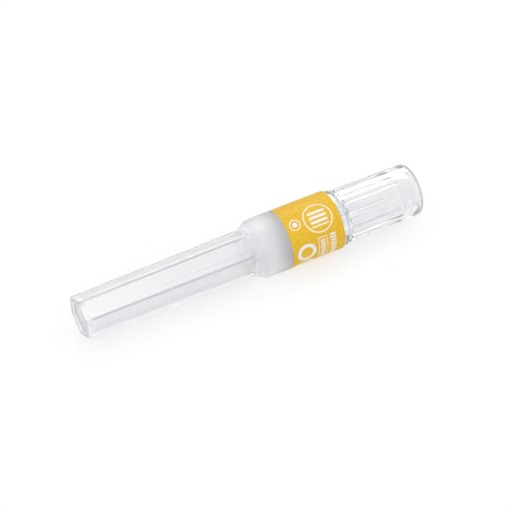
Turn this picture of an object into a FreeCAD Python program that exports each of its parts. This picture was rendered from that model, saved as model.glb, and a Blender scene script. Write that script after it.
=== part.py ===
"""Cased dental needle: a double-ended cannula in a threaded hub, shut in two clear guard caps.

Millimetres. Every body is drawn with its axis on X and the front cap's closed tip at zero, and is
then placed so that the closed case lies level, with its collar on Z = 0 and its middle over the origin.
"""

import FreeCAD, Part
import math
import os
from types import SimpleNamespace

import Sketcher

SIZES = {
    # the closed case
    "case_length": 72.6,
    "collar_length": 18.4,
    "rear_length": 18.4,
    "collar_radius": 6.0,
    "collar_wall": 0.75,
    # front cap: a tapered tube with six flats, which leave narrow rounded ridges between them
    "guard_roll": -5.0,
    "tip_flat": 3.88,
    "tube_flare": 0.39,
    "ridge_trim": 0.1,
    "cap_wall": 0.85,
    "tip_wall": 1.5,
    "tip_rim": 0.8,
    "tip_recess": 0.5,
    "tip_round": 0.3,
    "gate_radius": 0.55,
    "gate_height": 0.35,
    "collar_slope": 27.0,
    "slope_length": 1.9,
    "collar_edge": 0.5,
    "throat_lead": 5.0,
    "throat_overlap": 0.8,
    "throat_room": 0.35,
    # label, in a shallow recess round the collar
    "label_length": 11.3,
    "label_thickness": 0.1,
    "glue_line": 0.02,
    "label_margin": 0.1,
    "label_split": 4.0,
    # hub, from its nose
    "nose_length": 4.5,
    "nose_front": 0.7,
    "nose_back": 1.5,
    "shaft_length": 3.6,
    "shaft_radius": 1.9,
    "fin_rise": 0.35,
    "fin_thickness": 0.6,
    "shoulder_length": 2.3,
    "shoulder_rise": 0.95,
    "barrel_length": 4.4,
    "barrel_wall": 0.95,
    "neck_length": 0.4,
    "neck_step": 0.25,
    "flange_length": 1.5,
    "flange_lip": 0.55,
    "socket_depth": 6.3,
    "socket_lead": 0.4,
    "funnel_depth": 0.8,
    "funnel_radius": 0.45,
    # cannula, ground at both ends
    "cannula_radius": 0.15,
    "cannula_bore": 0.08,
    "front_reach": 19.4,
    "rear_reach": 14.6,
    "front_bevel": 13.0,
    "rear_bevel": 25.0,
    # bead of adhesive on the nose
    "bead_length": 0.55,
    # rear cap
    "rim_width": 2.0,
    "rim_step": 0.25,
    "rim_face": 0.6,
    "rim_neck": 0.4,
    "grip_step": 0.33,
    "grip_taper": 0.1,
    "end_round": 1.2,
    "flute_radius": 0.6,
    "flute_depth": 0.4,
    "flute_length": 11.4,
    "flute_count": 16,
    "spigot_length": 4.0,
    "spigot_wall": 0.6,
    "stop_step": 0.5,
    "chamber_taper": 0.2,
    "chamber_step": 0.8,
    "chamber_drop": 0.24,
    "end_wall": 1.0,
    # fits
    "running_gap": 0.05,
    "end_gap": 0.2,
    "flange_room": 0.3,
    "flange_inset": 0.9,
}
FLATS = 6
FINS = 4
NOSE_STEPS = 3
CHAMBER_STEPS = 4
TOP = "XZ_Plane"
SIDE = "XY_Plane"
ACROSS = "YZ_Plane"


class Formula:
    """A formula over the sheet's cells, with the value that it has now."""

    def __init__(self, text, value):
        self.text = text
        self.value = value

    def joined(self, sign, other, value):
        return Formula(f"({self.text} {sign} {as_formula(other).text})", value)

    def __add__(self, other):
        return self.joined("+", other, self.value + as_formula(other).value)

    def __sub__(self, other):
        return self.joined("-", other, self.value - as_formula(other).value)

    def __mul__(self, other):
        return self.joined("*", other, self.value * as_formula(other).value)

    def __truediv__(self, other):
        return self.joined("/", other, self.value / as_formula(other).value)

    def __neg__(self):
        return Formula(f"-{self.text}", -self.value)


def as_formula(number):
    return number if isinstance(number, Formula) else Formula(str(number), number)


def cosine(angle):
    angle = as_formula(angle)
    return Formula(f"cos({angle.text})", math.cos(math.radians(angle.value)))


def tangent(angle):
    angle = as_formula(angle)
    return Formula(f"tan({angle.text})", math.tan(math.radians(angle.value)))


def arctangent(ratio):
    return Formula(f"atan({ratio.text})", math.degrees(math.atan(ratio.value)))


doc = FreeCAD.newDocument("dental_needle")
sheet = doc.addObject("Spreadsheet::Sheet", "Size")
for row, (alias, number) in enumerate(SIZES.items(), start=1):
    sheet.set(f"A{row}", alias)
    sheet.set(f"B{row}", str(number))
    sheet.setAlias(f"B{row}", alias)
doc.recompute()
size = SimpleNamespace(**{alias: Formula(f"Size.{alias}", number) for alias, number in SIZES.items()})

# stations along the case, from the front cap's closed tip: the caps first, then the hub from its back
seam_at = size.case_length - size.rear_length
shoulder_at = seam_at - size.collar_length
root_at = shoulder_at + size.slope_length
label_at = seam_at - size.label_margin - size.label_length
hub_end = seam_at - size.flange_inset
flange_at = hub_end - size.flange_length
neck_at = flange_at - size.neck_length
barrel_at = neck_at - size.barrel_length
shaft_end = barrel_at - size.shoulder_length
nose_end = shaft_end - size.shaft_length
nose_at = nose_end - size.nose_length
socket_floor = hub_end - size.socket_depth

# radii, each piece inside the one before it: collar, spigot, flange, barrel, socket
spigot_seat = size.collar_radius - size.collar_wall
spigot_radius = spigot_seat - size.running_gap
spigot_bore = spigot_radius - size.spigot_wall
flange_radius = spigot_bore - size.running_gap
barrel_radius = flange_radius - size.flange_lip
socket_radius = barrel_radius - size.barrel_wall
shoulder_start = barrel_radius - size.shoulder_rise
root_flat = size.tip_flat + size.tube_flare


def bind(thing, **formulas):
    """Binds properties to formulas. Two underlines stand for the dot in a property's name."""
    for name, formula in formulas.items():
        thing.setExpression(name.replace("__", "."), formula.text)


def new_body(name):
    """A body that lies in the case: its tip towards -X, and its axis as high as the collar's radius."""
    body = doc.addObject("PartDesign::Body", name)
    body.Label = name
    bind(body, Placement__Base__x=-size.case_length / 2, Placement__Base__z=size.collar_radius)
    return body


def origin_feature(body, role):
    return next(feature for feature in body.Origin.OriginFeatures if feature.Role == role)


def new_sketch(body, name, plane, station=None, roll=None):
    """A sketch on one of the body's own planes, or at a station along its normal, rolled about the axis."""
    sketch = body.newObject("Sketcher::SketchObject", name)
    sketch.AttachmentSupport = [(origin_feature(body, plane), "")]
    sketch.MapMode = "FlatFace"
    if roll is not None:
        axis = FreeCAD.Vector(0, 0, 1) if plane == ACROSS else FreeCAD.Vector(1, 0, 0)
        sketch.AttachmentOffset = FreeCAD.Placement(FreeCAD.Vector(), FreeCAD.Rotation(axis, roll.value))
        bind(sketch, AttachmentOffset__Rotation__Angle=roll)
    if station is not None:
        bind(sketch, AttachmentOffset__Base__z=station)
    return sketch


def hold(sketch, kind, element, point, formula):
    """Holds a point at a signed distance from the origin along one of the sketch's axes."""
    formula = as_formula(formula)
    if formula.value == 0:
        axis = {"DistanceX": -2, "DistanceY": -1}[kind]
        sketch.addConstraint(Sketcher.Constraint("PointOnObject", element, point, axis))
        return
    ends = (-1, 1, element, point) if formula.value > 0 else (element, point, -1, 1)
    distance = formula if formula.value > 0 else -formula
    number = sketch.addConstraint(Sketcher.Constraint(kind, *ends, distance.value))
    sketch.setExpression(f"Constraints[{number}]", distance.text)


def hold_radius(sketch, element, formula):
    number = sketch.addConstraint(Sketcher.Constraint("Radius", element, formula.value))
    sketch.setExpression(f"Constraints[{number}]", formula.text)


def flat_point(along, out):
    return FreeCAD.Vector(as_formula(along).value, as_formula(out).value, 0)


def outline(body, name, corners, plane=TOP, middles=None, roll=None):
    """A closed outline, anticlockwise. Each corner says how far along the axis and how far out it is.

    Its sides are straight, apart from the arcs: middles gives the number of each one's side, and its middle.
    """
    sketch = new_sketch(body, name, plane, roll=roll)
    middles = middles or {}
    points = [flat_point(*corner) for corner in corners]
    for i, start in enumerate(points):
        end = points[(i + 1) % len(points)]
        if i in middles:
            middle = flat_point(*middles[i])
            ring = Part.Circle(middle, FreeCAD.Vector(0, 0, 1), (start - middle).Length)
            sketch.addGeometry(Part.ArcOfCircle(ring, ring.parameter(start), ring.parameter(end)), False)
        else:
            sketch.addGeometry(Part.LineSegment(start, end), False)
    for i in range(len(points)):
        sketch.addConstraint(Sketcher.Constraint("Coincident", i, 2, (i + 1) % len(points), 1))
    for i, (along, out) in enumerate(corners):
        hold(sketch, "DistanceX", i, 1, along)
        hold(sketch, "DistanceY", i, 1, out)
    for i, (along, out) in middles.items():
        hold(sketch, "DistanceX", i, 3, along)
    return sketch


def hexagon(body, name, corner, station, roll):
    """A hexagon across the axis, rolled from a corner straight up. corner is its radius to the corners."""
    sketch = new_sketch(body, name, ACROSS, station, roll)
    ring = Part.Circle(FreeCAD.Vector(), FreeCAD.Vector(0, 0, 1), corner.value)
    points = [ring.value(math.pi / 2 + math.pi / 3 * i) for i in range(7)]
    for start, end in zip(points, points[1:]):
        sketch.addGeometry(Part.LineSegment(start, end), False)
    number = sketch.addGeometry(ring, True)
    sketch.addConstraint(Sketcher.Constraint("Coincident", number, 3, -1, 1))
    for i in range(6):
        sketch.addConstraint(Sketcher.Constraint("Coincident", i, 2, (i + 1) % 6, 1))
        sketch.addConstraint(Sketcher.Constraint("PointOnObject", i, 1, number))
    for i in range(1, 6):
        sketch.addConstraint(Sketcher.Constraint("Equal", 0, i))
    sketch.addConstraint(Sketcher.Constraint("PointOnObject", 0, 1, -2))
    hold_radius(sketch, number, corner)
    return sketch


def circle(body, name, radius, station, height=0):
    """A circle across the axis, with its middle on the axis or at a height above it."""
    sketch = new_sketch(body, name, ACROSS, station)
    sketch.addGeometry(Part.Circle(flat_point(0, height), FreeCAD.Vector(0, 0, 1), radius.value), False)
    hold(sketch, "DistanceX", 0, 3, 0)
    hold(sketch, "DistanceY", 0, 3, height)
    hold_radius(sketch, 0, radius)
    return sketch


def finished(body, feature, grows=None):
    """Recomputes, and makes sure that a feature is whole, and adds or cuts as it should."""
    doc.recompute()
    if feature.Shape.isNull():
        raise ValueError(f"{feature.Label} has no shape: {feature.getStatusString()}")
    before = feature.BaseFeature.Shape.Volume if feature.BaseFeature else 0.0
    after = feature.Shape.Volume
    if grows is not None and (after <= before) == grows:
        raise ValueError(f"{feature.Label} goes from {before:.4f} to {after:.4f} mm3")
    body.Tip = feature
    return feature


def turned(body, name, profile, cuts=False, split=None):
    """Revolves a profile about the case's axis, all the way or short of it by a split."""
    feature = body.newObject("PartDesign::Groove" if cuts else "PartDesign::Revolution", name)
    feature.Profile = profile
    feature.ReferenceAxis = (profile, ["H_Axis"])
    feature.Angle = 360
    if split:
        feature.Midplane = True
        bind(feature, Angle=as_formula(360) - split)
    return finished(body, feature, not cuts)


def extruded(body, name, profile, length, cuts=False, backward=False, midplane=False, draft=None):
    """Pads or pockets a profile along its normal, backward against it, or to both sides of it."""
    feature = body.newObject("PartDesign::Pocket" if cuts else "PartDesign::Pad", name)
    feature.Profile = profile
    feature.Midplane = midplane
    feature.Reversed = cuts != backward
    bind(feature, Length=length)
    if draft:
        bind(feature, TaperAngle=draft)
    return finished(body, feature, not cuts)


def repeated(body, name, original, count):
    """Repeats a feature evenly round the case's axis."""
    feature = body.newObject("PartDesign::PolarPattern", name)
    feature.Originals = [original]
    feature.Axis = (origin_feature(body, "X_Axis"), [""])
    feature.Angle = 360
    bind(feature, Occurrences=as_formula(count))
    body.Tip = feature
    return finished(body, feature)


def rounded(body, name, radius, along, out=None, flat=False):
    """Rounds or bevels the last feature's edges at one station and, if given, one distance from the axis."""
    base = body.Tip
    near = 0.01

    def chosen(edge):
        ends = [vertex.Point for vertex in edge.Vertexes]
        if any(abs(end.x - along.value) > near for end in ends):
            return False
        return out is None or all(abs(math.hypot(end.y, end.z) - out.value) < near for end in ends)

    edges = [f"Edge{i}" for i, edge in enumerate(base.Shape.Edges, start=1) if chosen(edge)]
    if not edges:
        raise ValueError(f"{name} finds no edge")
    feature = body.newObject("PartDesign::Chamfer" if flat else "PartDesign::Fillet", name)
    feature.Base = (base, edges)
    if flat:
        bind(feature, Size=radius)
    else:
        bind(feature, Radius=radius)
    return finished(body, feature)


def front_cap():
    """The long guard: a six-sided tube with a recessed end, on a round collar that holds the hub."""
    body = new_body("front_cap")
    tip_corner = size.tip_flat / cosine(30) - size.ridge_trim
    root_corner = root_flat / cosine(30) - size.ridge_trim
    tube_corners = [(0, 0), (root_at, 0), (root_at, root_corner), (0, tip_corner)]
    turned(body, "tube", outline(body, "tube_outline", tube_corners))
    clear = root_corner * 2
    flat_corners = [(0, size.tip_flat), (root_at, root_flat), (root_at, clear), (0, clear)]
    flat_outline = outline(body, "flat_outline", flat_corners, plane=SIDE, roll=size.guard_roll)
    flat = extruded(body, "flat", flat_outline, root_corner * 3, cuts=True, midplane=True)
    repeated(body, "flats", flat, FLATS)
    rounded(body, "tip_rounds", size.tip_round, as_formula(0))

    recess = size.collar_radius - size.label_thickness - size.glue_line
    recess_at = label_at - size.label_margin
    slope_foot = root_flat - size.cap_wall / 2
    slope_at = root_at - (size.collar_radius - slope_foot) / tangent(size.collar_slope)
    collar_corners = [
        (slope_at, 0),
        (seam_at, 0),
        (seam_at, recess),
        (recess_at, recess),
        (recess_at, size.collar_radius),
        (root_at, size.collar_radius),
        (slope_at, slope_foot),
    ]
    turned(body, "collar", outline(body, "collar_outline", collar_corners))
    rounded(body, "collar_edge", size.collar_edge, root_at, size.collar_radius)

    bore_root = nose_at + size.throat_lead
    bore_corner = (root_flat - size.cap_wall) / cosine(30)
    extruded(
        body,
        "faceted_bore",
        hexagon(body, "bore_hexagon", bore_corner, bore_root, size.guard_roll),
        bore_root - size.tip_wall,
        cuts=True,
        backward=True,
        draft=-arctangent(size.tube_flare / root_at),
    )

    seat = barrel_radius + size.running_gap
    slope = size.shoulder_rise / size.shoulder_length
    throat = shoulder_start + size.throat_room
    bottom = seam_at - size.spigot_length - size.end_gap
    seat_corners = [
        (bore_root - size.throat_overlap, 0),
        (seam_at, 0),
        (seam_at, spigot_seat),
        (bottom, spigot_seat),
        (bottom, seat),
        (barrel_at, seat),
        (barrel_at - (seat - throat) / slope, throat),
        (bore_root - size.throat_overlap, throat),
    ]
    turned(body, "hub_seat", outline(body, "hub_seat_outline", seat_corners), cuts=True)

    hollow_corner = (size.tip_flat - size.tip_rim) / cosine(30)
    hollow = hexagon(body, "tip_hollow_hexagon", hollow_corner, as_formula(0), size.guard_roll)
    extruded(body, "tip_hollow", hollow, size.tip_recess, cuts=True)
    nub = circle(body, "gate_circle", size.gate_radius, size.tip_recess)
    extruded(body, "gate_nub", nub, size.gate_height, backward=True)


def label():
    """The printed band, which leaves a narrow split where its ends meet."""
    body = new_body("label")
    inner = size.collar_radius - size.label_thickness
    back = seam_at - size.label_margin
    corners = [
        (label_at, inner),
        (back, inner),
        (back, size.collar_radius),
        (label_at, size.collar_radius),
    ]
    turned(body, "band", outline(body, "band_outline", corners), split=size.label_split)


def hub():
    """The moulded hub: a stepped nose, a finned shaft, the seat, a barrel and a flange round the socket."""
    body = new_body("hub")
    step_length = size.nose_length / NOSE_STEPS
    step_rise = (size.nose_back - size.nose_front) / (NOSE_STEPS - 1)
    nose = []
    for step in reversed(range(NOSE_STEPS)):
        radius = size.nose_front + step_rise * step
        nose.append((nose_at + step_length * (step + 1), radius))
        nose.append((nose_at + step_length * step, radius))
    neck = barrel_radius - size.neck_step
    corners = [
        (nose_at, 0),
        (hub_end, 0),
        (hub_end, flange_radius),
        (flange_at, flange_radius),
        (flange_at, neck),
        (neck_at, neck),
        (neck_at, barrel_radius),
        (barrel_at, barrel_radius),
        (shaft_end, shoulder_start),
        (shaft_end, size.shaft_radius),
        (nose_end, size.shaft_radius),
        *nose,
    ]
    turned(body, "hub_body", outline(body, "hub_outline", corners))

    rooted = size.shaft_radius / 2
    fin_corners = [
        (nose_end, rooted),
        (shaft_end, rooted),
        (shaft_end, shoulder_start),
        (nose_end, shoulder_start - size.fin_rise),
    ]
    fin_outline = outline(body, "fin_outline", fin_corners)
    fin = extruded(body, "fin", fin_outline, size.fin_thickness, midplane=True)
    repeated(body, "fins", fin, FINS)

    socket_corners = [
        (socket_floor, 0),
        (hub_end, 0),
        (hub_end, socket_radius + size.socket_lead),
        (hub_end - size.socket_lead, socket_radius),
        (socket_floor, socket_radius),
    ]
    turned(body, "socket", outline(body, "socket_outline", socket_corners), cuts=True)

    way_corners = [
        (nose_at, 0),
        (socket_floor, 0),
        (socket_floor, size.cannula_radius),
        (nose_at + size.funnel_depth, size.cannula_radius),
        (nose_at, size.funnel_radius),
    ]
    turned(body, "cannula_way", outline(body, "cannula_way_outline", way_corners), cuts=True)


def cannula():
    """The steel tube, which runs through the hub and is ground to a bevel at both ends."""
    body = new_body("cannula")
    front = nose_at - size.front_reach
    back = hub_end + size.rear_reach
    radius = size.cannula_radius
    tube_corners = [(front, size.cannula_bore), (back, size.cannula_bore), (back, radius), (front, radius)]
    turned(body, "tube", outline(body, "tube_outline", tube_corners))
    blunt = radius * -0.9
    clear = radius * 2
    width = radius * 4
    ends = (("front", front, size.front_bevel, 1), ("rear", back, -size.rear_bevel, -1))
    for name, end, bevel, way in ends:
        reach = end + (clear - blunt) / tangent(bevel)
        corners = [(end, blunt), (reach, clear), (end, clear)][::way]
        ground = outline(body, f"{name}_bevel_outline", corners)
        extruded(body, f"{name}_bevel", ground, width, cuts=True, midplane=True)


def adhesive_bead():
    """The bead that fills the nose's funnel and bulges round the cannula."""
    body = new_body("adhesive_bead")
    foot = size.cannula_radius
    brim = size.funnel_radius
    front = nose_at - size.bead_length
    middle = (brim * brim - foot * foot - size.bead_length * size.bead_length) / (brim - foot) / 2
    corners = [(front, foot), (nose_at + size.funnel_depth, foot), (nose_at, brim)]
    turned(body, "bead", outline(body, "bead_outline", corners, middles={2: (nose_at, middle)}))


def rear_cap():
    """The short guard: a spigot that plugs into the collar, a rim, and a fluted grip with a closed end."""
    body = new_body("rear_cap")
    spigot_front = seam_at - size.spigot_length
    stop = hub_end + size.flange_room
    floor = size.case_length - size.end_wall
    chamber_front = spigot_bore - size.stop_step
    chamber_back = chamber_front - size.chamber_taper
    chamber_steps = []
    for step in range(CHAMBER_STEPS):
        station = floor - size.chamber_step * (CHAMBER_STEPS - step)
        radius = chamber_back - size.chamber_drop * step
        chamber_steps.append((station, radius))
        chamber_steps.append((station, radius - size.chamber_drop))
    rim_radius = size.collar_radius - size.rim_step
    rim_back = seam_at + size.rim_width
    neck_front = rim_back - size.rim_neck
    face_back = seam_at + size.rim_face
    grip_front = rim_radius - size.grip_step
    grip_back = grip_front - size.grip_taper
    neck = grip_front - size.flute_depth
    corners = [
        (spigot_front, spigot_bore),
        (stop, spigot_bore),
        (stop, chamber_front),
        *chamber_steps,
        (floor, chamber_back - size.chamber_drop * CHAMBER_STEPS),
        (floor, 0),
        (size.case_length, 0),
        (size.case_length, grip_back),
        (rim_back, grip_front),
        (rim_back, neck),
        (neck_front, neck),
        (face_back, rim_radius),
        (seam_at, rim_radius),
        (seam_at, spigot_radius),
        (spigot_front, spigot_radius),
    ]
    drop = neck_front - face_back
    middle = (rim_radius * rim_radius - neck * neck - drop * drop) / (rim_radius - neck) / 2
    rim_curve = {corners.index((neck_front, neck)): (face_back, middle)}
    turned(body, "shell", outline(body, "shell_outline", corners, middles=rim_curve))
    rounded(body, "end_rounds", size.end_round, size.case_length, grip_back)
    rounded(body, "spigot_lead", size.end_gap, spigot_front, spigot_radius, flat=True)
    flute_circle = circle(body, "flute_circle", size.flute_radius, rim_back, neck + size.flute_radius)
    flute = extruded(body, "flute", flute_circle, size.flute_length, cuts=True)
    repeated(body, "flutes", flute, size.flute_count)


for make in (front_cap, label, hub, cannula, adhesive_bead, rear_cap):
    make()
doc.recompute()

os.makedirs("parts", exist_ok=True)
bodies = [thing for thing in doc.Objects if thing.TypeId == "PartDesign::Body"]
for thing in doc.Objects:
    if {"Invalid", "Error"} & set(thing.State):
        raise ValueError(f"{thing.Label} has failed: {thing.getStatusString()}")
for body in bodies:
    if body.Shape.isNull() or not body.Shape.isValid() or len(body.Shape.Solids) != 1:
        raise ValueError(f"{body.Label} isn't one valid solid")
for body in bodies:
    body.Shape.exportStep(f"parts/{body.Label}.step")
    box = body.Shape.optimalBoundingBox()
    print(
        f"{body.Label}: {body.Shape.Volume:.3f} mm3, X {box.XMin:.2f} to {box.XMax:.2f},"
        f" Y {box.YMin:.2f} to {box.YMax:.2f}, Z {box.ZMin:.2f} to {box.ZMax:.2f}"
    )
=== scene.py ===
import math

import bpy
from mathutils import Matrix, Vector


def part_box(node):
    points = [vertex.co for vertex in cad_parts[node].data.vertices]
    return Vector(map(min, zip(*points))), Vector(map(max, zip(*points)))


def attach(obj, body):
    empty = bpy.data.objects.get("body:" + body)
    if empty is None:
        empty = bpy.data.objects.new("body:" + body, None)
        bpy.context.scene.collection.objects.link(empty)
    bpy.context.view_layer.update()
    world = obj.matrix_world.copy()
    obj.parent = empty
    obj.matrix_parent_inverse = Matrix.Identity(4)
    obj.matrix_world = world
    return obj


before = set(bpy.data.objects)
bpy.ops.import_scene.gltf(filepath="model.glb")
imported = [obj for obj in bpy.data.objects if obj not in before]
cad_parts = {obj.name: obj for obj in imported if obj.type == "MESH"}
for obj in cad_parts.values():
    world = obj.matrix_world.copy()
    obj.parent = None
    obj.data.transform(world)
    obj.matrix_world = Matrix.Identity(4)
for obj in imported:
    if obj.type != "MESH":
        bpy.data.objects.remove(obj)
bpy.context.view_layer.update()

# Cased dental needle: the finishes of its clear guards, label, hub and cannula, the socket's thread,
# and the white table and lights round it. Lengths are metres, and X runs from the tip to the rear end.

MM = 0.001
label_low, label_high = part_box("label")
_, hub_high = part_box("hub")
AXIS_HEIGHT = (label_low.z + label_high.z) / 2
COLLAR_RADIUS = (label_high.z - label_low.z) / 2

# the camera, fitted to nine points of the photograph
VIEW_AZIMUTH = -27.33
VIEW_ELEVATION = 49.10
VIEW_DISTANCE = 0.400
VIEW_TARGET = Vector((1.317, 0.0, 3.868)) * MM
LENS = 144.5
NEAR_CLIP = 0.01
FAR_CLIP = 10.0

# the front cap's collar begins with a slope, where its frost comes in
SLOPE_FROM = label_low.x - 7.5 * MM
SLOPE_LENGTH = 2.4 * MM

# the syringe socket's M6 x 0.75 thread
THREAD_PITCH = 0.75 * MM
THREAD_ROOT = 3.07 * MM
THREAD_CREST = 2.64 * MM
THREAD_FROM = hub_high.x - 6.0 * MM
THREAD_TO = hub_high.x - 0.5 * MM
ROOT_SHARE = 0.44
CREST_SHARE = 0.09
SECTIONS_PER_TURN = 72
FADE_TURNS = 0.35
LEAST_RISE = 0.02

# the parts of a noise's range, from 0 to 1, over which a pattern goes from none to full
NOISE_RANGE = 0.3, 0.7
MOTTLE_RANGE = 0.35, 0.65
RUB_RANGE = 0.45, 0.75

# the clear guards: milky, smooth on the tube and the grip, and frosted on the collar
GUARD_IOR = 1.49
GUARD_TINTS = (0.982, 0.984, 0.995, 1.0), (0.996, 0.996, 1.0, 1.0)
FRONT_CLEARNESS = 0.76
REAR_CLEARNESS = 0.82
TUBE_GLOSS = 0.18
GRIP_GLOSS = 0.11
COLLAR_FROST = 0.56
FROST_TINT = (0.958, 0.958, 0.974, 1.0)

# the hub, the cannula and the adhesive
HUB_IOR = 1.50
HUB_CLEARNESS = 0.25
HUB_TINTS = (0.94, 0.945, 0.96, 1.0), (0.97, 0.975, 0.985, 1.0)
STEEL_TINTS = (0.50, 0.50, 0.52, 1.0), (0.68, 0.68, 0.70, 1.0)
STEEL_POLISH = 0.16, 0.32
ADHESIVE_IOR = 1.50
ADHESIVE_CLEARNESS = 0.35
ADHESIVE_TINTS = (0.52, 0.50, 0.47, 1.0), (0.66, 0.64, 0.60, 1.0)

# the label
LABEL_YELLOWS = (0.83, 0.48, 0.030, 1.0), (0.90, 0.58, 0.050, 1.0)
LABEL_POLISH = 0.38, 0.55
LABEL_SHINE = 0.08
INK_WHITE = (0.93, 0.92, 0.90, 1.0)
INK_EDGE = 0.025

# the room's light on the case: dim from the walls, and brighter from above and a little in front
WALL_LIGHT = 0.55
CEILING_LIGHT = 1.10
LIGHT_FROM = (0.0, -0.30, 0.954)
LIGHT_REACH = 0.0, 0.9
LIGHT_COLOUR = (0.96, 0.975, 1.0, 1.0)

# the room as gloss and glass show it
WALL = 0.70
CEILING = 1.00
CEILING_REACH = 0.0, 0.5

# the table's glow beside the case and far from it, as it is seen, as it bounces, and through glass
TABLE_HALF = 0.6
GLOW_COLOUR = (0.975, 0.985, 1.0, 1.0)
TABLE_GLOW = 0.62
FAR_GLOW = 1.0
GLOW_REACH = 0.07, 0.30
TABLE_BOUNCE = 0.38
SEEN_THROUGH = 1.00
FAR_THROUGH = 0.80
THROUGH_REACH = 0.05, 0.40
TABLE_SHADE = 0.42
THROUGH_SHADE = 0.04


class Graph:
    """Builds the nodes of one material, world or effect."""

    def __init__(self, tree):
        self.tree = tree

    def link(self, output, socket):
        self.tree.links.new(output, socket)

    def feed(self, value, socket):
        """Gives an input a plain value, or another node's output."""
        if isinstance(value, bpy.types.NodeSocket):
            self.link(value, socket)
        else:
            socket.default_value = value

    def add(self, kind, values=None, **settings):
        """Adds a node. values gives what goes into its inputs, by their names or numbers."""
        made = self.tree.nodes.new(kind)
        for name, value in settings.items():
            setattr(made, name, value)
        for name, value in (values or {}).items():
            self.feed(value, made.inputs[name])
        return made

    def math(self, operation, *values, clamp=False):
        made = self.add("ShaderNodeMath", dict(enumerate(values)), operation=operation, use_clamp=clamp)
        return made.outputs[0]

    def half(self, value):
        return self.math("DIVIDE", value, 2.0)

    def distance(self, across, down):
        """How far off a point is that lies so far across and down."""
        squares = self.math("ADD", self.math("POWER", across, 2.0), self.math("POWER", down, 2.0))
        return self.math("SQRT", squares)

    def step(self, value, low, high, to_low=0.0, to_high=1.0):
        """A soft step from to_low to to_high, as value goes from low to high."""
        bounds = {"Value": value, "From Min": low, "From Max": high, "To Min": to_low, "To Max": to_high}
        return self.add("ShaderNodeMapRange", bounds, interpolation_type="SMOOTHSTEP").outputs["Result"]

    def blend(self, factor, first, second):
        """The colour first where factor is 0 and second where it is 1."""
        return self.add("ShaderNodeMix", {0: factor, 6: first, 7: second}, data_type="RGBA").outputs[2]

    def mix(self, factor, first, second):
        """The number first where factor is 0 and second where it is 1."""
        return self.add("ShaderNodeMix", {0: factor, 2: first, 3: second}, data_type="FLOAT").outputs[0]

    def place(self, along=1.0, across=1.0):
        """The object's own place in millimetres, times along on X, and times across on Y and Z."""
        point = self.add("ShaderNodeTexCoord").outputs["Object"]
        scale = (along / MM, across / MM, across / MM)
        return self.add("ShaderNodeMapping", {0: point, "Scale": scale}).outputs[0]

    def noise(self, place, **values):
        return self.add("ShaderNodeTexNoise", {"Vector": place, **values}).outputs[0]

    def effect(self, group, **values):
        """Places a shared effect. Underlines in a name stand for spaces."""
        named = {name.replace("_", " "): value for name, value in values.items()}
        return self.add("ShaderNodeGroup", named, node_tree=group).outputs


def grey(level):
    return (level, level, level, 1.0)


def new_effect(name, takes, gives):
    """An empty effect. takes has its number inputs and their usual values, gives its outputs and kinds."""
    tree = bpy.data.node_groups.new(name, "ShaderNodeTree")
    for label, usual in takes.items():
        socket = tree.interface.new_socket(name=label, in_out="INPUT", socket_type="NodeSocketFloat")
        socket.default_value = usual
    for label, kind in gives.items():
        tree.interface.new_socket(name=label, in_out="OUTPUT", socket_type=kind)
    graph = Graph(tree)
    return graph, graph.add("NodeGroupInput").outputs, graph.add("NodeGroupOutput").inputs


def make_place_on_case():
    """Where a point of the case lies: along it, and round it from the top towards the camera's side.

    Both are in millimetres. Round is measured on the collar's own radius.
    """
    gives = {"Along": "NodeSocketFloat", "Round": "NodeSocketFloat"}
    graph, _, out = new_effect("place_on_case", {}, gives)
    point = graph.add("ShaderNodeTexCoord").outputs["Object"]
    parts = graph.add("ShaderNodeSeparateXYZ", {0: point}).outputs
    height = graph.math("SUBTRACT", parts["Z"], AXIS_HEIGHT)
    towards = graph.math("MULTIPLY", parts["Y"], -1.0)
    angle = graph.math("ARCTAN2", towards, height)
    graph.link(graph.math("DIVIDE", parts["X"], MM), out["Along"])
    graph.link(graph.math("MULTIPLY", angle, COLLAR_RADIUS / MM), out["Round"])
    return graph.tree


def make_moulded_skin():
    """Moulded plastic: faint flow waves along the case, a fine grain, and rubs that dull the gloss."""
    takes = {"Wave": 0.1, "Grain": 0.1, "Grain Scale": 9.0, "Rubs": 0.2, "Gloss": 0.1}
    gives = {"Roughness": "NodeSocketFloat", "Normal": "NodeSocketVector", "Cloud": "NodeSocketFloat"}
    graph, take, out = new_effect("moulded_skin", takes, gives)
    even = graph.place()
    flow = graph.noise(graph.place(along=0.12), Scale=0.9, Detail=2.0)
    grain = graph.noise(even, Scale=take["Grain Scale"], Detail=3.0)
    rub = graph.noise(even, Scale=0.55, Detail=5.0, Roughness=0.65)
    waves = graph.math("MULTIPLY", flow, take["Wave"])
    height = graph.math("ADD", waves, graph.math("MULTIPLY", grain, take["Grain"]))
    bump = graph.add("ShaderNodeBump", {"Strength": 1.0, "Distance": 0.1 * MM, "Height": height})
    dulled = graph.math("MULTIPLY", graph.step(rub, *RUB_RANGE), take["Rubs"])
    graph.link(graph.math("ADD", take["Gloss"], dulled, clamp=True), out["Roughness"])
    graph.link(bump.outputs[0], out["Normal"])
    graph.link(graph.step(flow, *NOISE_RANGE), out["Cloud"])
    return graph.tree


def new_print(name, sizes):
    """An empty effect for one print, with how far a point lies from its centre along and round the case."""
    takes = {"Along": 0.0, "Round": 0.0, "Centre Along": 0.0, "Centre Round": 0.0, **sizes}
    graph, take, out = new_effect(name, takes, {"Print": "NodeSocketFloat"})
    across = graph.math("SUBTRACT", take["Along"], take["Centre Along"])
    down = graph.math("SUBTRACT", take["Round"], take["Centre Round"])
    return graph, take, out, across, down


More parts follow.
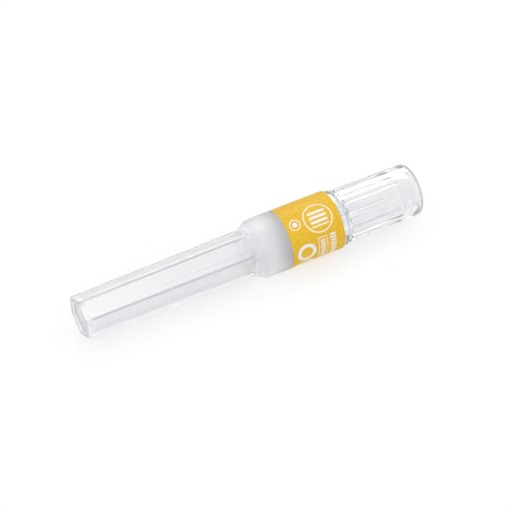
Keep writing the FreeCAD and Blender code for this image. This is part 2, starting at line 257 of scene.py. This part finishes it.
def make_printed_ring():
    """A printed ring, or a dot where its line is as wide as its radius."""
    graph, take, out, across, down = new_print("printed_ring", {"Radius": 1.0, "Line": 0.2})
    half_line = graph.half(take["Line"])
    middle = graph.math("SUBTRACT", take["Radius"], half_line)
    off = graph.math("ABSOLUTE", graph.math("SUBTRACT", graph.distance(across, down), middle))
    edge = graph.math("SUBTRACT", off, half_line)
    graph.link(graph.step(edge, -INK_EDGE, INK_EDGE, 1.0, 0.0), out["Print"])
    return graph.tree


def make_printed_bars():
    """A row of printed bars that runs round the label.

    Row is the row's length, Pitch is from one bar to the next, Length is a bar's along the case, and
    Width is a bar's round it.
    """
    sizes = {"Length": 1.0, "Width": 0.5, "Pitch": 1.0, "Row": 1.0}
    graph, take, out, across, down = new_print("printed_bars", sizes)
    half_row = graph.half(take["Row"])
    past_row = graph.math("SUBTRACT", graph.math("ABSOLUTE", down), half_row)
    in_pitch = graph.math("FLOORED_MODULO", graph.math("ADD", down, half_row), take["Pitch"])
    from_bar = graph.math("ABSOLUTE", graph.math("SUBTRACT", in_pitch, graph.half(take["Pitch"])))
    beside = graph.math("SUBTRACT", from_bar, graph.half(take["Width"]))
    past_end = graph.math("SUBTRACT", graph.math("ABSOLUTE", across), graph.half(take["Length"]))
    edge = graph.math("MAXIMUM", graph.math("MAXIMUM", beside, past_end), past_row)
    graph.link(graph.step(edge, -INK_EDGE, INK_EDGE, 1.0, 0.0), out["Print"])
    return graph.tree


PLACE_ON_CASE = make_place_on_case()
MOULDED_SKIN = make_moulded_skin()
PRINTED_RING = make_printed_ring()
PRINTED_BARS = make_printed_bars()


def ring(along, turn, radius, line):
    """A printed ring. turn is its centre's angle from the top, in degrees towards the camera's side."""
    centre = math.radians(turn) * COLLAR_RADIUS / MM
    return PRINTED_RING, {"Centre_Along": along, "Centre_Round": centre, "Radius": radius, "Line": line}


def bars(along, turn, length, width, pitch, row):
    """A row of printed bars with its middle at an angle from the top."""
    centre = math.radians(turn) * COLLAR_RADIUS / MM
    return PRINTED_BARS, {"Centre_Along": along, "Centre_Round": centre,
                          "Length": length, "Width": width, "Pitch": pitch, "Row": row}


# the print, in millimetres from the label's front edge and degrees from the top: a ring round four
# stripes, a ring round a dot, two thick rings, an open box with bars in it, and a row of short bars
PRINT = [
    ring(along=6.9, turn=25.0, radius=3.0, line=0.24),
    bars(along=6.9, turn=25.0, length=3.6, width=0.5, pitch=0.95, row=3.35),
    ring(along=2.0, turn=23.0, radius=1.15, line=0.2),
    ring(along=2.0, turn=23.0, radius=0.5, line=0.5),
    ring(along=2.9, turn=84.0, radius=2.0, line=0.68),
    ring(along=2.9, turn=126.0, radius=2.0, line=0.68),
    bars(along=5.55, turn=90.0, length=0.14, width=5.9, pitch=6.0, row=6.0),
    bars(along=7.45, turn=90.0, length=0.14, width=5.9, pitch=6.0, row=6.0),
    bars(along=6.5, turn=62.0, length=1.9, width=0.16, pitch=0.2, row=0.2),
    bars(along=6.5, turn=118.0, length=1.9, width=0.16, pitch=0.2, row=0.2),
    bars(along=6.5, turn=90.0, length=0.95, width=0.32, pitch=0.55, row=4.95),
    bars(along=8.75, turn=90.0, length=1.2, width=0.4, pitch=0.7, row=6.3),
]


def new_material(name):
    material = bpy.data.materials.new(name)
    material.use_nodes = True
    material.node_tree.nodes.clear()
    graph = Graph(material.node_tree)
    shader = graph.add("ShaderNodeBsdfPrincipled")
    graph.link(shader.outputs[0], graph.add("ShaderNodeOutputMaterial").inputs["Surface"])
    return material, graph, shader.inputs


def make_moulded_plastic(name, tints, clearness, ior, **skin_values):
    """A moulded plastic. clearness is the share of light that goes through, and the rest is milky."""
    material, graph, surface = new_material(name)
    skin = graph.effect(MOULDED_SKIN, **skin_values)
    graph.link(skin["Roughness"], surface["Roughness"])
    graph.link(graph.blend(skin["Cloud"], *tints), surface["Base Color"])
    graph.link(skin["Normal"], surface["Normal"])
    surface["IOR"].default_value = ior
    surface["Transmission Weight"].default_value = clearness
    return material, graph, surface


def make_guard_plastic(name, gloss, clearness):
    """Clear moulded guard plastic with a milky haze."""
    skin_values = {"Wave": 0.08, "Grain": 0.015, "Rubs": 0.08, "Gloss": gloss}
    return make_moulded_plastic(name, GUARD_TINTS, clearness, GUARD_IOR, **skin_values)


def make_front_guard_plastic():
    """The front cap's plastic. Its collar is frosted, from its slope back."""
    material, graph, surface = make_guard_plastic("front_guard_plastic", TUBE_GLOSS, FRONT_CLEARNESS)
    along = graph.effect(PLACE_ON_CASE)["Along"]
    frosted = graph.step(along, SLOPE_FROM / MM, (SLOPE_FROM + SLOPE_LENGTH) / MM)
    polished = surface["Roughness"].links[0].from_socket
    clear_tint = surface["Base Color"].links[0].from_socket
    frost = graph.math("MULTIPLY", frosted, COLLAR_FROST)
    graph.link(graph.math("ADD", polished, frost, clamp=True), surface["Roughness"])
    graph.link(graph.blend(frosted, clear_tint, FROST_TINT), surface["Base Color"])
    return material


def make_hub_plastic():
    """The hub's milky moulded plastic."""
    skin_values = {"Wave": 0.15, "Grain": 0.05, "Rubs": 0.1, "Gloss": 0.25}
    return make_moulded_plastic("hub_plastic", HUB_TINTS, HUB_CLEARNESS, HUB_IOR, **skin_values)[0]


def make_adhesive():
    """Cured clear adhesive, a little cloudy."""
    skin_values = {"Wave": 0.1, "Grain": 0.05, "Rubs": 0.05, "Gloss": 0.12}
    made = make_moulded_plastic("adhesive", ADHESIVE_TINTS, ADHESIVE_CLEARNESS, ADHESIVE_IOR, **skin_values)
    return made[0]


def make_needle_steel():
    """Drawn stainless tube: fine lines along it, and a polish that varies a little."""
    material, graph, surface = new_material("needle_steel")
    lines = graph.noise(graph.place(along=0.5, across=40.0), Scale=1.0, Detail=3.0)
    bump = graph.add("ShaderNodeBump", {"Strength": 0.3, "Distance": 0.004 * MM, "Height": lines})
    graph.link(graph.step(lines, *NOISE_RANGE, *STEEL_POLISH), surface["Roughness"])
    graph.link(graph.blend(lines, *STEEL_TINTS), surface["Base Color"])
    graph.link(bump.outputs[0], surface["Normal"])
    surface["Metallic"].default_value = 1.0
    return material


def make_label_film():
    """The yellow label with its plain white print."""
    material, graph, surface = new_material("label_film")
    place = graph.effect(PLACE_ON_CASE)
    along = graph.math("SUBTRACT", place["Along"], label_low.x / MM)
    even = graph.place()
    mottle = graph.noise(even, Scale=1.4, Detail=6.0, Roughness=0.7)
    fibre = graph.noise(even, Scale=16.0, Detail=2.0)
    yellow = graph.blend(graph.step(mottle, *MOTTLE_RANGE), *LABEL_YELLOWS)
    print_mask = 0.0
    for effect, values in PRINT:
        mask = graph.effect(effect, Along=along, Round=place["Round"], **values)["Print"]
        print_mask = graph.math("MAXIMUM", print_mask, mask)
    graph.link(graph.blend(print_mask, yellow, INK_WHITE), surface["Base Color"])
    graph.link(graph.step(fibre, *NOISE_RANGE, *LABEL_POLISH), surface["Roughness"])
    bump = graph.add("ShaderNodeBump", {"Strength": 0.4, "Distance": 0.01 * MM, "Height": fibre})
    graph.link(bump.outputs[0], surface["Normal"])
    surface["Specular IOR Level"].default_value = LABEL_SHINE
    return material


def add_object(name, data):
    made = bpy.data.objects.new(name, data)
    bpy.context.scene.collection.objects.link(made)
    return made


def point_along(thing, direction):
    """Turns a camera or a lamp to look along a direction, with its top up."""
    thing.rotation_mode = "QUATERNION"
    thing.rotation_quaternion = direction.to_track_quat("-Z", "Y")


def helical_ridge(name):
    """The thread inside the socket: one ridge that winds along X, and dies out at both ends."""
    root_half = THREAD_PITCH * ROOT_SHARE
    crest_half = THREAD_PITCH * CREST_SHARE
    turns = (THREAD_TO - THREAD_FROM) / THREAD_PITCH
    count = int(turns * SECTIONS_PER_TURN)
    corners = 4
    points, faces = [], []
    for i in range(count + 1):
        turn = turns * i / count
        middle = THREAD_FROM + THREAD_PITCH * turn
        rise = min(1.0, turn / FADE_TURNS, (turns - turn) / FADE_TURNS)
        top = THREAD_ROOT - (THREAD_ROOT - THREAD_CREST) * max(rise, LEAST_RISE)
        angle = math.tau * turn
        profile = (
            (middle - root_half, THREAD_ROOT),
            (middle - crest_half, top),
            (middle + crest_half, top),
            (middle + root_half, THREAD_ROOT),
        )
        for x, radius in profile:
            points.append((x, radius * math.cos(angle), AXIS_HEIGHT + radius * math.sin(angle)))
    for i in range(count):
        here, there = i * corners, (i + 1) * corners
        for side in range(corners):
            after = (side + 1) % corners
            faces.append((here + side, here + after, there + after, there + side))
    last = count * corners
    faces.append(tuple(reversed(range(corners))))
    faces.append(tuple(range(last, last + corners)))
    mesh = bpy.data.meshes.new(name)
    mesh.from_pydata(points, [], faces)
    mesh.validate()
    mesh.polygons.foreach_set("use_smooth", [True] * len(mesh.polygons))
    return add_object(name, mesh)


def dress(node, material):
    """Gives a solid its finish."""
    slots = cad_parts[node].data.materials
    slots.clear()
    slots.append(material)


def make_camera():
    """The camera. back points from what it looks at to where it stands."""
    azimuth, elevation = math.radians(VIEW_AZIMUTH), math.radians(VIEW_ELEVATION)
    beside = math.sin(azimuth) * math.cos(elevation)
    before = math.cos(azimuth) * math.cos(elevation)
    back = Vector((beside, -before, math.sin(elevation)))
    data = bpy.data.cameras.new("camera")
    data.lens = LENS
    data.clip_start = NEAR_CLIP
    data.clip_end = FAR_CLIP
    camera = add_object("camera", data)
    camera.location = VIEW_TARGET + back * VIEW_DISTANCE
    point_along(camera, -back)
    bpy.context.scene.camera = camera


def make_lamp(name, place, width, height, power, colour=(1.0, 1.0, 1.0), only_gloss=False):
    """A softbox that faces the case. One with only_gloss shows in gloss and glass alone."""
    data = bpy.data.lights.new(name, "AREA")
    data.shape = "RECTANGLE"
    data.size = width
    data.size_y = height
    data.energy = power
    data.color = colour
    lamp = add_object(name, data)
    lamp.location = Vector(place)
    point_along(lamp, VIEW_TARGET - lamp.location)
    lamp.visible_diffuse = not only_gloss


def make_world():
    """A pale room. The camera sees it white, and gloss and glass see its walls and brighter ceiling.

    Its own light on the case comes mostly from above.
    """
    world = bpy.data.worlds.new("room")
    bpy.context.scene.world = world
    world.use_nodes = True
    world.node_tree.nodes.clear()
    graph = Graph(world.node_tree)
    direction = graph.add("ShaderNodeTexCoord").outputs["Generated"]
    up = graph.add("ShaderNodeSeparateXYZ", {0: direction}).outputs["Z"]
    path = graph.add("ShaderNodeLightPath").outputs
    through = graph.math("MAXIMUM", path["Is Glossy Ray"], path["Is Transmission Ray"])
    seen = graph.math("MAXIMUM", path["Is Camera Ray"], through)
    room = graph.blend(graph.step(up, *CEILING_REACH), grey(WALL), grey(CEILING))
    backdrop = graph.blend(through, grey(1.0), room)
    colour = graph.blend(seen, LIGHT_COLOUR, backdrop)
    facing = graph.add("ShaderNodeVectorMath", {0: direction, 1: LIGHT_FROM}, operation="DOT_PRODUCT")
    unseen = graph.step(facing.outputs["Value"], *LIGHT_REACH, WALL_LIGHT, CEILING_LIGHT)
    strength = graph.mix(seen, unseen, 1.0)
    background = graph.add("ShaderNodeBackground", {"Color": colour, "Strength": strength})
    graph.link(background.outputs[0], graph.add("ShaderNodeOutputWorld").inputs["Surface"])


def make_table_white():
    """The table top's finish. It glows, so that it is white all over and still takes the case's shadow."""
    material, graph, surface = new_material("table_white")
    point = graph.add("ShaderNodeTexCoord").outputs["Object"]
    away = graph.add("ShaderNodeVectorMath", {0: point}, operation="LENGTH").outputs["Value"]
    path = graph.add("ShaderNodeLightPath").outputs
    through = path["Is Transmission Ray"]
    seen_glow = graph.step(away, *GLOW_REACH, TABLE_GLOW, FAR_GLOW)
    glow = graph.mix(path["Is Diffuse Ray"], seen_glow, TABLE_BOUNCE)
    through_glow = graph.step(away, *THROUGH_REACH, SEEN_THROUGH, FAR_THROUGH)
    graph.link(graph.mix(through, glow, through_glow), surface["Emission Strength"])
    graph.link(graph.blend(through, grey(TABLE_SHADE), grey(THROUGH_SHADE)), surface["Base Color"])
    surface["Emission Color"].default_value = GLOW_COLOUR
    surface["Roughness"].default_value = 0.6
    surface["Specular IOR Level"].default_value = 0.0
    return material


def make_table():
    half = TABLE_HALF
    mesh = bpy.data.meshes.new("table_top")
    corners = [(-half, -half, 0.0), (half, -half, 0.0), (half, half, 0.0), (-half, half, 0.0)]
    mesh.from_pydata(corners, [], [(0, 1, 2, 3)])
    mesh.materials.append(make_table_white())
    table = add_object("table_top", mesh)


make_camera()
make_world()
make_table()

# the key light, above the case and a little behind it, for its soft shadow in front
make_lamp("key_softbox", (0.02, 0.18, 0.40), width=0.10, height=0.10, power=0.14, colour=(1.0, 0.98, 0.95))

# a tall strip behind the case, for the bright line along the tube's upper ridge
make_lamp("gloss_strip", (0.295, 0.74, 0.61), width=0.32, height=0.80, power=6.8, only_gloss=True)

# a box overhead, for the sheen on the tube's main flat
make_lamp("overhead_softbox", (0.073, -0.147, 0.679), width=0.12, height=0.25, power=0.33, only_gloss=True)

dress("front_cap", make_front_guard_plastic())
dress("rear_cap", make_guard_plastic("rear_guard_plastic", GRIP_GLOSS, REAR_CLEARNESS)[0])
hub_plastic = make_hub_plastic()
dress("hub", hub_plastic)
dress("cannula", make_needle_steel())
dress("adhesive_bead", make_adhesive())
dress("label", make_label_film())

thread = helical_ridge("socket_thread")
thread.data.materials.append(hub_plastic)
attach(thread, "needle")

bpy.context.scene.view_settings.view_transform = "Standard"
